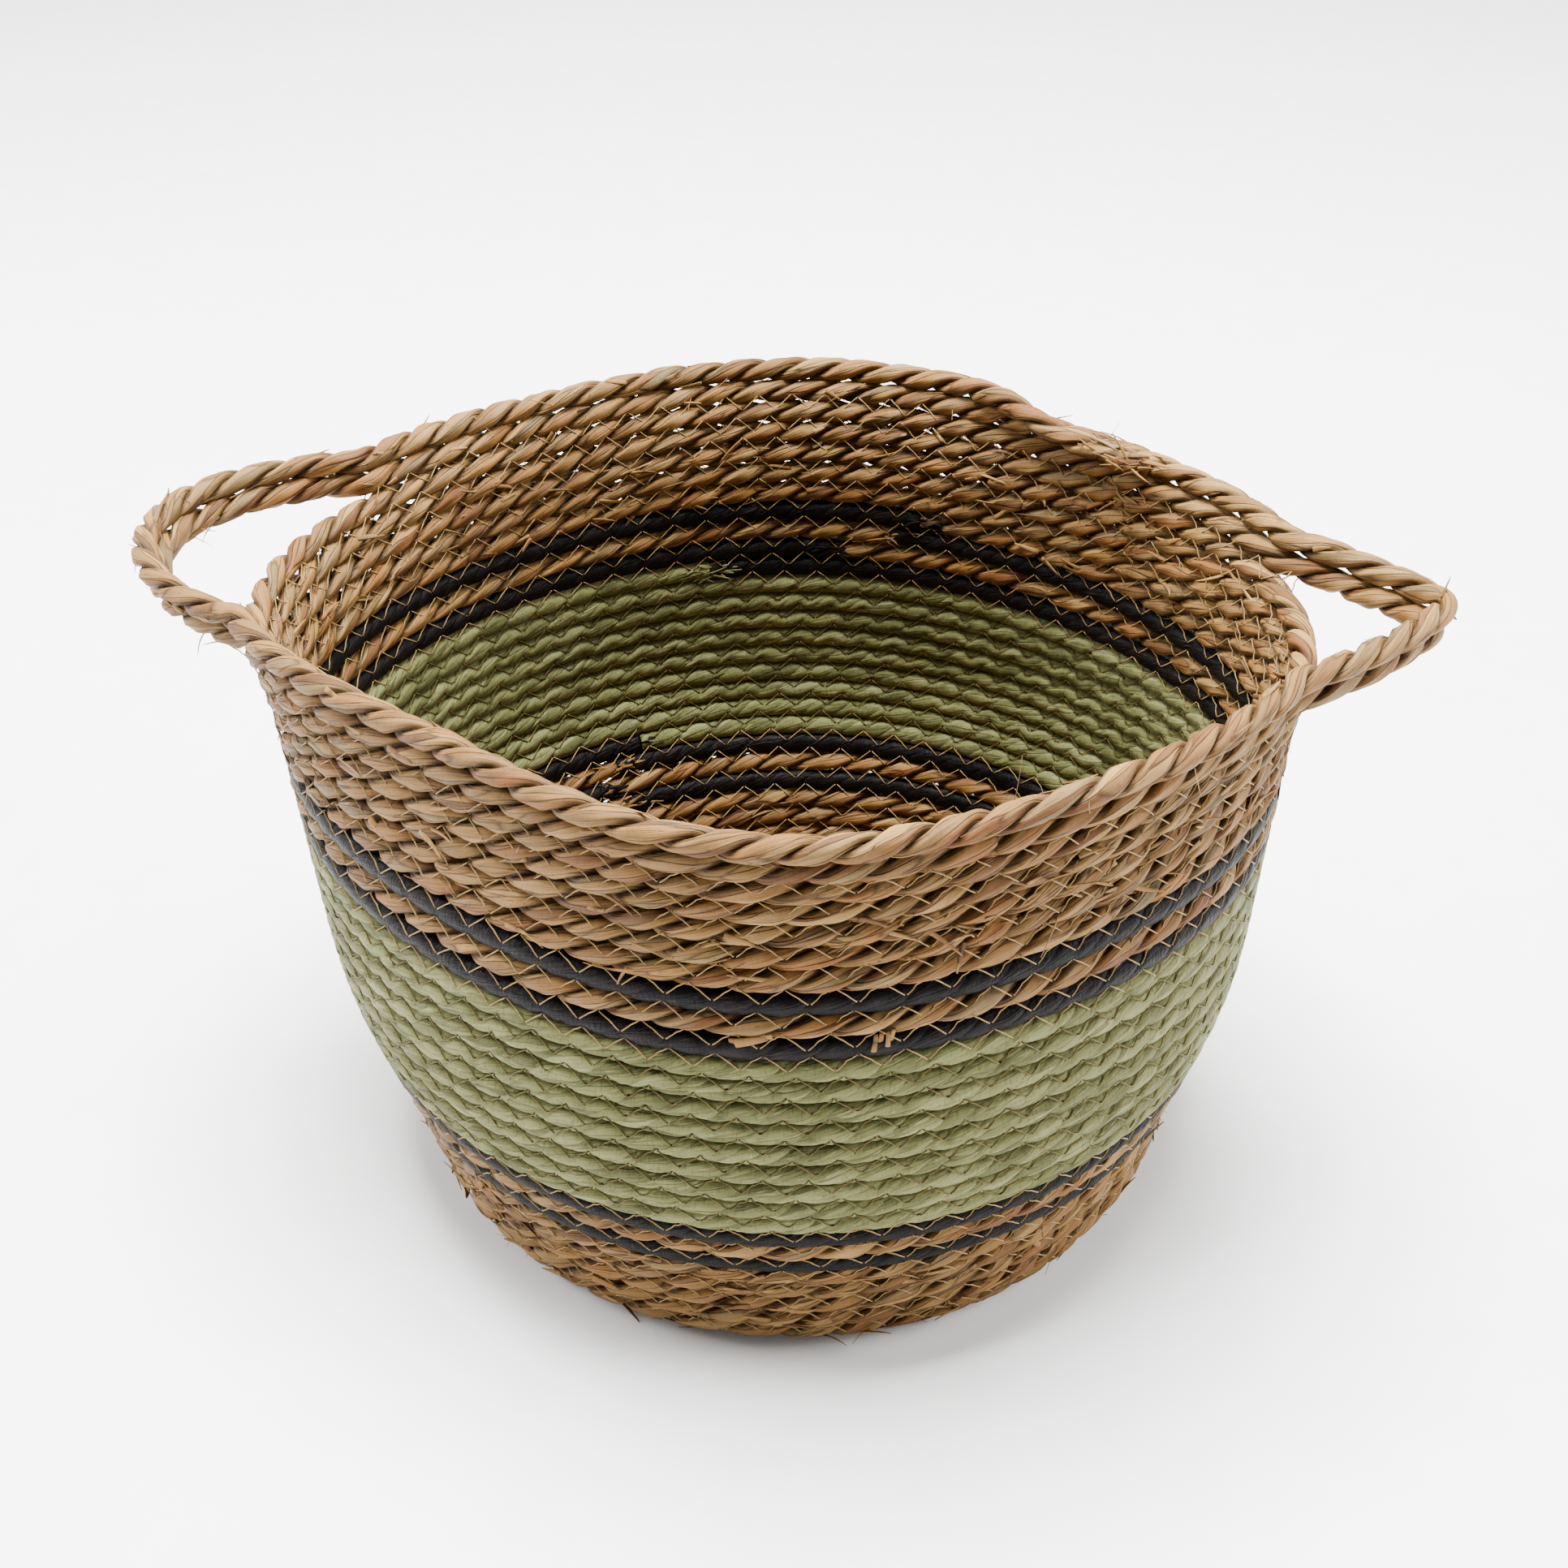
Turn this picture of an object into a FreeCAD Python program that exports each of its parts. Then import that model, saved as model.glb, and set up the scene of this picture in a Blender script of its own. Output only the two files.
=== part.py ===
import FreeCAD, Part
import math
import os

# Coiled seagrass storage basket with two loop handles.
#
# One two-ply rope is coiled from the middle of the base outwards, turns up into the wall and climbs
# it as a spiral, one row per turn, clockwise seen from above.  The rope is made of lengths of
# different colour set end to end, and every row is sewn to the row before it.  On each side the
# last two rows leave the wall together and bow outwards as a handle.
#
# Frame: +Z up, the rest plane is Z = 0, the origin is the centre of the base on that plane.
# +X points to the right handle, +Y to the back, where the coloured lengths meet.
# A place along the coil is given in turns: 0 is at the back of the base's edge, 1 is one turn on.

doc = FreeCAD.newDocument("SeagrassBasket")

# ---------------------------------------------------------------- driving dimensions
SIZES = [
    ("rope_pitch", 8.0, "distance from one row of rope to the next, mm"),
    ("rope_diameter", 7.6, "rope as laid in the coil, mm"),
    ("flat_depth", 0.3, "how much the underside of the base is pressed flat, mm"),
    ("rope_joint", 0.6, "gap between two lengths of rope set end to end, mm"),
    ("thread_diameter", 0.8, "sewing thread, mm"),
    ("thread_offset", 1.8, "thread's distance from the middle surface of the wall, mm"),
    ("start_radius", 6.0, "radius of the innermost bend of the base coil, mm"),
    ("base_radius", 120.3, "radius where the base begins to turn up, mm"),
    ("corner_radius", 12.0, "radius of the turn from the base into the wall, mm"),
    ("foot_lean", 9.3, "outward lean of the wall at the foot, degrees from upright"),
    ("low_lean", 18.8, "lean a quarter of the way up, degrees"),
    ("middle_lean", 1.9, "lean half way up, degrees"),
    ("high_lean", 1.4, "lean three quarters of the way up, degrees"),
    ("rim_lean", 18.1, "lean at the rim, degrees"),
    ("wall_rows", 27.0, "rows from the base's edge to the rim"),
    ("foot_oval", -0.013, "long axis over round, as a share of the radius, at the foot"),
    ("rim_oval", 0.054, "the same at the rim, drawn out towards the handles"),
    ("rim_square", 0.033, "four-sided pull of the rim, share of the radius"),
    ("rim_skew", -0.016, "pull of the rim across the diagonal, share of the radius"),
    ("rim_shift", -8.4, "sideways lean of the whole rim along X, mm"),
    ("rim_tilt", 3.9, "rise of the rim towards +X, mm"),
    ("tuck_depth", 15.8, "flattening of the rim in front of the left handle, mm"),
    ("tuck_azimuth", 235.4, "middle of that flattening, degrees"),
    ("tuck_width", 55.7, "half of its width, degrees"),
    ("left_reach", 36.0, "left handle's reach beyond the wall, mm"),
    ("left_azimuth", 174.3, "left handle's tip, degrees"),
    ("left_back_width", 18.3, "left handle's tip to its back root, degrees"),
    ("left_front_width", 21.2, "left handle's tip to its front root, degrees"),
    ("left_roundness", 1.86, "exponent of the left loop's outline, 1 pointed, 2 round"),
    ("right_reach", 43.3, "right handle's reach beyond the wall, mm"),
    ("right_azimuth", -0.7, "right handle's tip, degrees"),
    ("right_back_width", 13.75, "right handle's tip to its back root, degrees"),
    ("right_front_width", 18.2, "right handle's tip to its front root, degrees"),
    ("right_roundness", 0.8, "exponent of the right loop's outline"),
    ("handle_start", 25.0, "turn from which the rope belongs to the handles"),
    ("wrap_start", 27.05, "turn where the rope's end leaves the rim for the inside"),
    ("wrap_end", 27.12, "turn where the rope ends"),
    ("rope_spans", 20.0, "spans of two arcs each in a turn of rope"),
    ("thread_spans", 16.0, "the same in a turn of sewing thread"),
    ("handle_spans", 100.0, "the same in a turn that forms the handles"),
]

sheet = doc.addObject("Spreadsheet::Sheet", "Sizes")
for row, (alias, value, meaning) in enumerate(SIZES, start=1):
    sheet.set("A%d" % row, meaning)
    sheet.set("B%d" % row, str(value))
    sheet.setAlias("B%d" % row, alias)
doc.recompute()


def size(alias):
    """The plain number that the sheet holds under this alias."""
    return float(getattr(sheet, alias))


PITCH = size("rope_pitch")
ROPE_RADIUS = size("rope_diameter") / 2
WALL_ROWS = size("wall_rows")
UP = FreeCAD.Vector(0, 0, 1)

# The innermost bend fixes where the coil starts, counted back from the base's edge.
CORNER_ROWS = size("corner_radius") * math.radians(90 - size("foot_lean")) / PITCH
CORNER_ROW = -0.85
BASE_ROWS = (size("base_radius") - size("start_radius")) / PITCH
START_TURN = CORNER_ROW - BASE_ROWS


# ---------------------------------------------------------------- shape of the wall
def slope(row):
    """Angle of the wall's outline above the horizontal at a row, in radians."""
    upright = math.pi / 2
    if row <= CORNER_ROW:
        return 0.0
    foot = upright - math.radians(size("foot_lean"))
    if row < CORNER_ROW + CORNER_ROWS:
        return foot * (row - CORNER_ROW) / CORNER_ROWS
    leans = [size(name) for name in ("foot_lean", "low_lean", "middle_lean", "high_lean", "rim_lean")]
    quarter = min(max(row / WALL_ROWS, 0.0), 1.0) * (len(leans) - 1)
    below = min(int(quarter), len(leans) - 2)
    blend = (1 - math.cos(math.pi * (quarter - below))) / 2
    return upright - math.radians(leans[below] + (leans[below + 1] - leans[below]) * blend)


def outline_points(step):
    """Radius and height of the wall's middle line, row by row, from the base's corner upwards."""
    radius = size("base_radius")
    height = ROPE_RADIUS - size("flat_depth")
    row = CORNER_ROW
    points = [(radius, height)]
    while row < WALL_ROWS + 2:
        middle = slope(row + step / 2)
        radius += math.cos(middle) * step * PITCH
        height += math.sin(middle) * step * PITCH
        row += step
        points.append((radius, height))
    return points


OUTLINE_STEP = 0.05
OUTLINE = outline_points(OUTLINE_STEP)


def outline(row):
    """Radius and height of the wall's middle line at a row; the base is flat inside its corner."""
    if row <= CORNER_ROW:
        return OUTLINE[0][0] + (row - CORNER_ROW) * PITCH, OUTLINE[0][1]
    place = (row - CORNER_ROW) / OUTLINE_STEP
    below = min(int(place), len(OUTLINE) - 2)
    part = place - below
    low, high = OUTLINE[below], OUTLINE[below + 1]
    return low[0] + (high[0] - low[0]) * part, low[1] + (high[1] - low[1]) * part


def angle_between(azimuth, middle):
    """Signed difference of two azimuths, in degrees, between -180 and 180."""
    return (azimuth - middle + 180.0) % 360.0 - 180.0


def handle_bow(side, azimuth):
    """How far the handle's ropes stand out from the wall at an azimuth, in mm."""
    turn = angle_between(azimuth, size(side + "_azimuth"))
    towards_back = turn if side == "right" else -turn
    width = size(side + ("_back_width" if towards_back > 0 else "_front_width"))
    rounded = math.hypot(turn / width, 0.1)
    rise = 1 - rounded ** size(side + "_roundness")
    eased = (rise + math.hypot(rise, 0.06)) / 2
    return size(side + "_reach") * eased if abs(turn) < 2 * width else 0.0


def rim_tuck(azimuth, share):
    """Inward pull of the upper rows in front of the left handle, in mm."""
    part = angle_between(azimuth, size("tuck_azimuth")) / size("tuck_width")
    if abs(part) >= 1:
        return 0.0
    return size("tuck_depth") * (1 + math.cos(math.pi * part)) / 2 * share ** 4


def wall_point(row, azimuth, outward=0.0, in_handle=False):
    """Point of the wall at a row and an azimuth, moved outward from the wall's middle surface."""
    angle = math.radians(azimuth)
    radius, height = outline(row)
    rise = slope(row)
    share = min(max(row / WALL_ROWS, 0.0), 1.05)
    oval = size("foot_oval") + (size("rim_oval") - size("foot_oval")) * share
    square = size("rim_square") * share ** 2
    skew = size("rim_skew") * share
    shape = 1 + oval * math.cos(2 * angle) + square * math.cos(4 * angle) + skew * math.sin(2 * angle)
    reach = (radius + outward * math.sin(rise)) * shape - rim_tuck(azimuth, share)
    if in_handle:
        reach += handle_bow("left", azimuth) + handle_bow("right", azimuth)
    x = reach * math.cos(angle) + size("rim_shift") * share
    y = reach * math.sin(angle)
    z = height - outward * math.cos(rise) + size("rim_tilt") * share * math.cos(angle)
    return FreeCAD.Vector(x, y, z)


# ---------------------------------------------------------------- paths along the coil
def azimuth_of(turn):
    """The coil starts at the back and runs clockwise seen from above."""
    return (90.0 - 360.0 * turn) % 360.0


def rope_point(turn):
    """Centre of the rope; past the wrap's start it rolls over the row below to the inside."""
    azimuth = azimuth_of(turn)
    in_handle = turn > size("handle_start")
    if turn <= size("wrap_start"):
        return wall_point(turn, azimuth, 0.0, in_handle)
    part = (turn - size("wrap_start")) / (size("wrap_end") - size("wrap_start"))
    roll = math.radians(95.0) * part * part * (3 - 2 * part)
    row_below = turn - 1
    over = row_below + (turn - row_below) * math.cos(roll)
    return wall_point(over, azimuth, -PITCH * math.sin(roll), in_handle)


def seam_point(turn, side):
    """Thread in the groove between this row and the next one; side is 1 outside, -1 inside."""
    in_handle = turn > size("handle_start")
    return wall_point(turn + 0.5, azimuth_of(turn), side * size("thread_offset"), in_handle)


def arc_through(start, direction, end):
    """Arc that leaves start along direction and passes through end."""
    chord = end - start
    along = chord * (1 / chord.Length)
    bend = math.acos(max(-1.0, min(1.0, direction.dot(along))))
    aside = direction - along * direction.dot(along)
    if aside.Length < 1e-9:
        return Part.LineSegment(start, end).toShape()
    aside.normalize()
    top = start + chord * 0.5 + aside * (chord.Length / 2 * math.tan(bend / 2))
    return Part.Arc(start, top, end).toShape()


def two_arcs(start, out, end, into):
    """Two tangent arcs from start, leaving along out, to end, arriving along into."""
    chord = end - start
    both = out + into
    bend = 2 * (1 - out.dot(into))
    ahead = chord.dot(both)
    if bend < 1e-12:
        reach = chord.dot(chord) / (2 * ahead)
    else:
        reach = (math.sqrt(ahead * ahead + bend * chord.dot(chord)) - ahead) / bend
    left = start + out * reach
    right = end - into * reach
    middle = (left + right) * 0.5
    across = right - left
    across.normalize()
    return [arc_through(start, out, middle), arc_through(middle, across, end)]


def span_ends(first, last, spans_alias):
    """Turns where the spans of a path meet: wide apart on the wall, close together in the handles."""
    turns = [first]
    while turns[-1] < last:
        in_handle = turns[-1] > size("handle_start")
        turns.append(turns[-1] + 1 / size("handle_spans" if in_handle else spans_alias))
    stretch = (last - first) / (turns[-1] - first)
    return [first + (turn - first) * stretch for turn in turns]


def coil_wire(point_at, first, last, spans_alias):
    """Smooth wire of tangent arcs along point_at from the first turn to the last."""
    nudge = 1e-4
    turns = span_ends(first, last, spans_alias)
    points = [point_at(turn) for turn in turns]
    directions = []
    for turn in turns:
        direction = point_at(turn + nudge) - point_at(turn - nudge)
        directions.append(direction.normalize())
    edges = []
    for index in range(len(turns) - 1):
        edges += two_arcs(points[index], directions[index], points[index + 1], directions[index + 1])
    return Part.Wire(edges), directions[0]


# ---------------------------------------------------------------- building blocks
def coil_sweep(name, point_at, first, last, diameter_alias, spans_alias):
    """A round section swept along the coil; the section's radius is bound to the sheet."""
    wire, direction = coil_wire(point_at, first, last, spans_alias)
    path = doc.addObject("Part::Feature", name + "_path")
    path.Shape = wire
    section = doc.addObject("Part::Circle", name + "_section")
    section.setExpression("Radius", "Sizes.%s / 2" % diameter_alias)
    turn_to_path = FreeCAD.Rotation(UP, direction)
    section.Placement = FreeCAD.Placement(wire.Edges[0].valueAt(wire.Edges[0].FirstParameter), turn_to_path)
    sweep = doc.addObject("Part::Sweep", name + "_sweep")
    sweep.Sections = [section]
    sweep.Spine = (path, [])
    sweep.Solid = True
    sweep.Frenet = False
    return sweep


def rope_length(label, first, last):
    """One length of rope between two places on the coil, with half a joint's gap at each end."""
    half_joint = size("rope_joint") / 2
    round_there = 2 * math.pi * outline(first)[0]
    gap = half_joint / round_there
    rope = coil_sweep(label, rope_point, first + gap, last - gap, "rope_diameter", "rope_spans")
    rope.Label = label
    return rope


def base_rope(label, last):
    """The first length: base coil and foot rows, its underside pressed flat on the rest plane."""
    gap = size("rope_joint") / 2 / (2 * math.pi * outline(last)[0])
    rope = coil_sweep(label, rope_point, START_TURN, last - gap, "rope_diameter", "rope_spans")
    ground = doc.addObject("Part::Box", label + "_ground")
    ground.setExpression("Length", "Sizes.base_radius * 3")
    ground.setExpression("Width", "Sizes.base_radius * 3")
    ground.setExpression("Height", "Sizes.rope_diameter")
    ground.setExpression("Placement.Base.x", "-Sizes.base_radius * 1.5")
    ground.setExpression("Placement.Base.y", "-Sizes.base_radius * 1.5")
    ground.setExpression("Placement.Base.z", "-Sizes.rope_diameter")
    pressed = doc.addObject("Part::Cut", label + "_pressed")
    pressed.Base = rope
    pressed.Tool = ground
    pressed.Label = label
    return pressed


def seam_thread(label, side, first, last):
    """A sewing thread laid in the grooves between rows, on the outside (1) or the inside (-1)."""
    thread = coil_sweep(label, lambda turn: seam_point(turn, side), first, last,
                        "thread_diameter", "thread_spans")
    thread.Label = label
    return thread


# ---------------------------------------------------------------- the basket's pieces
# Places on the coil, in turns, where one length of rope ends and the next begins.
BASE_END = 4.90
FOOT_BLACK_END = 5.89
FOOT_BAND_END = 6.90
FOOT_UPPER_BLACK_END = 7.914
GREEN_END = 16.952
LOWER_BLACK_END = 18.006
BAND_END = 19.03
UPPER_BLACK_END = 20.044
UPPER_NATURAL_END = 24.14
HANDLE_ROPE_END = 25.42
BASE_THREAD_END = -1.0
LOWER_THREAD_END = 13.0
UPPER_THREAD_END = size("wrap_start") - 1.01
THREAD_BREAK = 0.01

pieces = [
    base_rope("base_rope", BASE_END),
    rope_length("foot_black_rope_lower", BASE_END, FOOT_BLACK_END),
    rope_length("foot_band_rope", FOOT_BLACK_END, FOOT_BAND_END),
    rope_length("foot_black_rope_upper", FOOT_BAND_END, FOOT_UPPER_BLACK_END),
    rope_length("green_rope", FOOT_UPPER_BLACK_END, GREEN_END),
    rope_length("top_black_rope_lower", GREEN_END, LOWER_BLACK_END),
    rope_length("top_band_rope", LOWER_BLACK_END, BAND_END),
    rope_length("top_black_rope_upper", BAND_END, UPPER_BLACK_END),
    rope_length("upper_natural_rope", UPPER_BLACK_END, UPPER_NATURAL_END),
    rope_length("handle_rope", UPPER_NATURAL_END, HANDLE_ROPE_END),
    rope_length("rim_rope", HANDLE_ROPE_END, size("wrap_end")),
    seam_thread("base_thread_under", 1, START_TURN + 1, BASE_THREAD_END),
    seam_thread("base_thread_inside", -1, START_TURN + 1, BASE_THREAD_END),
    seam_thread("lower_thread_outside", 1, BASE_THREAD_END + THREAD_BREAK, LOWER_THREAD_END),
    seam_thread("lower_thread_inside", -1, BASE_THREAD_END + THREAD_BREAK, LOWER_THREAD_END),
    seam_thread("upper_thread_outside", 1, LOWER_THREAD_END + THREAD_BREAK, UPPER_THREAD_END),
    seam_thread("upper_thread_inside", -1, LOWER_THREAD_END + THREAD_BREAK, UPPER_THREAD_END),
]

doc.recompute()

# ---------------------------------------------------------------- checks and export
for item in doc.Objects:
    if "Invalid" in item.State or "Error" in item.State:
        raise RuntimeError("%s did not recompute: %s" % (item.Label, item.State))

os.makedirs("parts", exist_ok=True)
for piece in pieces:
    shape = piece.Shape
    if shape.isNull() or not shape.isValid() or len(shape.Solids) != 1:
        raise RuntimeError("%s is not one valid solid" % piece.Label)
    box = shape.BoundBox
    print("%-24s %9.0f mm3  x %7.1f %7.1f  y %7.1f %7.1f  z %6.1f %6.1f" % (
        piece.Label, shape.Volume, box.XMin, box.XMax, box.YMin, box.YMax, box.ZMin, box.ZMax))
    shape.exportStep(os.path.join("parts", piece.Label + ".step"))
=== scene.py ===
import math

import bpy
import numpy as np
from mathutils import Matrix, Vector


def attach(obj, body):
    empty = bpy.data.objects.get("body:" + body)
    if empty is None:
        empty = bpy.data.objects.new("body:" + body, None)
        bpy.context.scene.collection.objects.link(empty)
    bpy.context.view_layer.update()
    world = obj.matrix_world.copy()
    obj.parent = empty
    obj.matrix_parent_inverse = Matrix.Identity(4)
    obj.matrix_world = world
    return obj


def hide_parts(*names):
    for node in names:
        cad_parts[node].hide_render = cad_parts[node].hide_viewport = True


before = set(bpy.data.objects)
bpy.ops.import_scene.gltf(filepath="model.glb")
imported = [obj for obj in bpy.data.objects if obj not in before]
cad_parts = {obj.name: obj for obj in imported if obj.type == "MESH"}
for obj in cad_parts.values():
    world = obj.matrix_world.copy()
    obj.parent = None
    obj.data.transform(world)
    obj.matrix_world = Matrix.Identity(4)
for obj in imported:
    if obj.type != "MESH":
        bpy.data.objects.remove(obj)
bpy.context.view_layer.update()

# Coiled seagrass basket.  A place along the coil is given in turns from the back of the base's
# edge; rows are counted up the wall from there, one row per turn, clockwise seen from above.
# All lengths here are in millimetres until a mesh is written, which is in metres.

MM = 0.001
rng = np.random.default_rng(12)

# ---------------------------------------------------------------- sizes, as in the CAD model
PITCH = 8.0
FLOOR_CLEARANCE = 3.5
CORNER_ROW = -0.85
CORNER_RADIUS = 12.0
BASE_RADIUS = 120.3
START_RADIUS = 6.0
WALL_ROWS = 27.0
LEANS = (9.3, 18.8, 1.9, 1.4, 18.1)
FOOT_OVAL, RIM_OVAL = -0.013, 0.054
RIM_SQUARE, RIM_SKEW = 0.033, -0.016
RIM_SHIFT, RIM_TILT = -8.4, 3.9
TUCK_DEPTH, TUCK_AZIMUTH, TUCK_WIDTH = 15.8, 235.4, 55.7
HANDLE_START = 25.0
# handle: reach, azimuth of the tip, widths towards the back and the front, roundness
HANDLES = {"left": (36.0, 174.3, 18.3, 21.2, 1.86), "right": (43.3, -0.7, 13.75, 18.2, 0.8)}
WRAP_START, WRAP_END = 27.05, 27.12
START_TURN = CORNER_ROW - (BASE_RADIUS - START_RADIUS) / PITCH
CENTRE_CURL = 0.8    # turns of rope curled up tight inside the first turn
STITCH = 13.2
# needle holes: how far from a row's middle line towards the row that it is sewn to
HOLE_REACH = 1.15


# ---------------------------------------------------------------- shape of the wall
def slope(row):
    """Angle of the wall's outline above the horizontal, in radians."""
    upright = math.pi / 2
    foot = upright - math.radians(LEANS[0])
    corner_rows = CORNER_RADIUS * foot / PITCH
    quarter = np.clip(row / WALL_ROWS, 0, 1) * (len(LEANS) - 1)
    below = np.minimum(quarter.astype(int), len(LEANS) - 2)
    lean = np.array(LEANS)
    blend = (1 - np.cos(math.pi * (quarter - below))) / 2
    wall = upright - np.radians(lean[below] + (lean[below + 1] - lean[below]) * blend)
    turning = np.clip((row - CORNER_ROW) / corner_rows, 0, 1) * foot
    return np.where(row < CORNER_ROW + corner_rows, turning, wall)


OUTLINE_ROWS = np.arange(CORNER_ROW, WALL_ROWS + 2, 0.05)
_rise = slope(OUTLINE_ROWS[:-1] + 0.025)
OUTLINE_RADIUS = BASE_RADIUS + np.concatenate([[0], np.cumsum(np.cos(_rise) * 0.05 * PITCH)])
OUTLINE_HEIGHT = FLOOR_CLEARANCE + np.concatenate([[0], np.cumsum(np.sin(_rise) * 0.05 * PITCH)])


def handle_bow(azimuth):
    """How far both handles' ropes stand out from the wall."""
    bow = np.zeros_like(azimuth)
    for side, (reach, tip, back, front, roundness) in HANDLES.items():
        turn = (azimuth - tip + 180) % 360 - 180
        towards_back = turn if side == "right" else -turn
        width = np.where(towards_back > 0, back, front)
        rise = 1 - np.hypot(turn / width, 0.1) ** roundness
        eased = (rise + np.hypot(rise, 0.06)) / 2
        bow += np.where(np.abs(turn) < 2 * width, reach * eased, 0)
    return bow


def wall_point(row, azimuth, outward, in_handle):
    """Points of the wall at rows and azimuths, moved outward from its middle surface."""
    angle = np.radians(azimuth)
    inner = np.minimum(row - CORNER_ROW, 0) * PITCH
    radius = np.interp(row, OUTLINE_ROWS, OUTLINE_RADIUS) + inner
    height = np.interp(row, OUTLINE_ROWS, OUTLINE_HEIGHT)
    rise = slope(row)
    share = np.clip(row / WALL_ROWS, 0, 1.05)
    oval = FOOT_OVAL + (RIM_OVAL - FOOT_OVAL) * share
    shape = (1 + oval * np.cos(2 * angle) + RIM_SQUARE * share ** 2 * np.cos(4 * angle)
             + RIM_SKEW * share * np.sin(2 * angle))
    part = np.clip(((azimuth - TUCK_AZIMUTH + 180) % 360 - 180) / TUCK_WIDTH, -1, 1)
    tuck = TUCK_DEPTH * (1 + np.cos(math.pi * part)) / 2 * share ** 4
    reach = (radius + outward * np.sin(rise)) * shape - tuck + in_handle * handle_bow(azimuth)
    x = reach * np.cos(angle) + RIM_SHIFT * share
    y = reach * np.sin(angle)
    z = height - outward * np.cos(rise) + RIM_TILT * share * np.cos(angle)
    return np.stack([x, y, z], axis=-1)


def coil_point(turn, outward=0.0):
    """Rope centre along the coil; past the wrap's start it rolls over the row below, inwards."""
    azimuth = (90 - 360 * turn) % 360
    in_handle = (turn > HANDLE_START) * 1.0
    part = np.clip((turn - WRAP_START) / (WRAP_END - WRAP_START), 0, 1)
    roll = np.radians(95) * part * part * (3 - 2 * part)
    row = turn - 1 + np.cos(roll)
    return wall_point(row, azimuth, outward - PITCH * np.sin(roll), in_handle)


def unit(vectors):
    return vectors / np.linalg.norm(vectors, axis=-1, keepdims=True)


def coil_frame(turn):
    """Centre, direction, outward normal and upward direction of the rope at each turn."""
    centre = coil_point(turn)
    along = unit(coil_point(turn + 1e-4) - coil_point(turn - 1e-4))
    out = coil_point(turn, 0.5) - coil_point(turn, -0.5)
    out = unit(out - along * np.sum(out * along, axis=-1, keepdims=True))
    up = np.cross(along, out)
    return centre, along, out, up


def coil_length_table():
    """Turns at a fine step and the rope's length from the coil's start to each, in millimetres."""
    turns = np.arange(START_TURN - CENTRE_CURL, WRAP_END + 0.08, 0.002)
    points = coil_point(turns)
    steps = np.linalg.norm(np.diff(points, axis=0), axis=1)
    lengths = np.concatenate([[0], np.cumsum(steps)])
    return turns, lengths - np.interp(START_TURN, turns, lengths)


TURNS, LENGTHS = coil_length_table()


def length_at(turn):
    return np.interp(turn, TURNS, LENGTHS)


def turn_at(length):
    return np.interp(length, LENGTHS, TURNS)


def smooth_noise(positions, spacing, seed):
    """Smooth random values between -1 and 1 along a line."""
    local = np.random.default_rng(seed)
    place = positions / spacing
    low = np.floor(place).astype(int)
    low -= low.min()
    values = local.uniform(-1, 1, low.max() + 3)
    part = place - np.floor(place)
    part = part * part * (3 - 2 * part)
    return values[low] * (1 - part) + values[low + 1] * part


# ---------------------------------------------------------------- meshes
def make_object(name, vertices, faces, material, attributes, nodes):
    """Mesh from millimetre vertices and blocks of faces, riding the basket's one body."""
    mesh = bpy.data.meshes.new(name)
    corners = np.concatenate([np.asarray(block, dtype=np.int32).ravel() for block in faces])
    sizes = np.concatenate([np.full(len(block), np.asarray(block).shape[1]) for block in faces])
    starts = np.concatenate([[0], np.cumsum(sizes)[:-1]]).astype(np.int32)
    mesh.vertices.add(len(vertices))
    mesh.vertices.foreach_set("co", (np.asarray(vertices, dtype=np.float32) * MM).ravel())
    mesh.loops.add(len(corners))
    mesh.loops.foreach_set("vertex_index", corners)
    mesh.polygons.add(len(sizes))
    mesh.polygons.foreach_set("loop_start", starts)
    mesh.polygons.foreach_set("use_smooth", np.ones(len(sizes), dtype=bool))
    for key, values in attributes.items():
        kind = "FLOAT_VECTOR" if values.ndim == 2 else "FLOAT"
        layer = mesh.attributes.new(key, kind, "POINT")
        field = "vector" if values.ndim == 2 else "value"
        layer.data.foreach_set(field, values.astype(np.float32).ravel())
    mesh.update(calc_edges=True)
    mesh.validate()
    piece = bpy.data.objects.new(name, mesh)
    bpy.context.scene.collection.objects.link(piece)
    mesh.materials.append(material)
    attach(piece, "root")
    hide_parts(*nodes)


def tube_faces(rings, around, first):
    """Quads between successive rings of points, and one many-sided face to close each end."""
    ring = np.arange(rings - 1)[:, None] * around + first
    here = np.arange(around)[None, :]
    ahead = (here + 1) % around
    quads = np.stack([ring + here, ring + ahead, ring + around + ahead, ring + around + here], axis=-1)
    start = first + np.arange(around)[::-1]
    end = first + (rings - 1) * around + np.arange(around)
    return quads.reshape(-1, 4), np.stack([start, end])


def many_tubes(paths, facing, width, thickness, sides):
    """Thin closed tubes along many paths of equal count; facing is the way their flat side looks."""
    count, steps = paths.shape[:2]
    along = unit(np.gradient(paths, axis=1) + 1e-9)
    aside = unit(np.cross(along, facing))
    over = np.cross(aside, along)
    angle = 2 * math.pi * np.arange(sides) / sides
    ring = (aside[:, :, None] * np.cos(angle)[:, None] * width[..., None, None]
            + over[:, :, None] * np.sin(angle)[:, None] * thickness[..., None, None])
    vertices = (paths[:, :, None] + ring).reshape(-1, 3)
    quads, ends = tube_faces(steps, sides, 0)
    offset = np.arange(count)[:, None, None] * steps * sides
    return vertices, [(quads + offset).reshape(-1, 4), (ends + offset).reshape(-1, sides)]


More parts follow.
